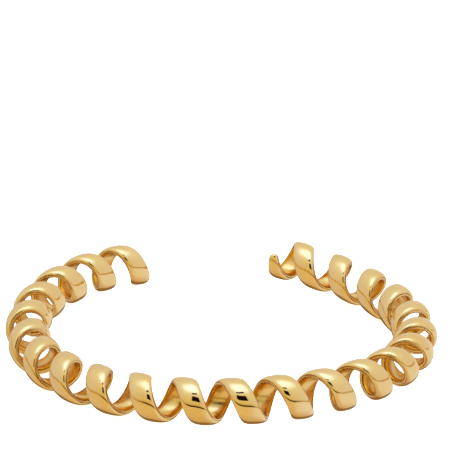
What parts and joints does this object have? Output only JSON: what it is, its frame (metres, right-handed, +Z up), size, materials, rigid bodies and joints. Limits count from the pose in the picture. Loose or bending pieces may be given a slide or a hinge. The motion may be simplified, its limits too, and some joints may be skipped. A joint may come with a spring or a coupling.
{
  "type": "spiral coil cuff bracelet",
  "caption": "Open cuff bracelet made of one domed gold-coloured ribbon with a nearly flat back, wound as a spiral coil round the wrist opening.",
  "frame": {"origin": "centre of the bounding box, at the level that the bracelet lies on", "axes": "+X across the wrist, the opening between the two ends faces +Y, +Z up off the surface it lies on"},
  "size_m": [0.0716, 0.0652, 0.0089],
  "materials": {
    "polished_gold": "mirror-polished yellow gold plating"
  },
  "bodies": {
    "root": {"coil_ribbon": "polished_gold"}
  },
  "joints": []
}
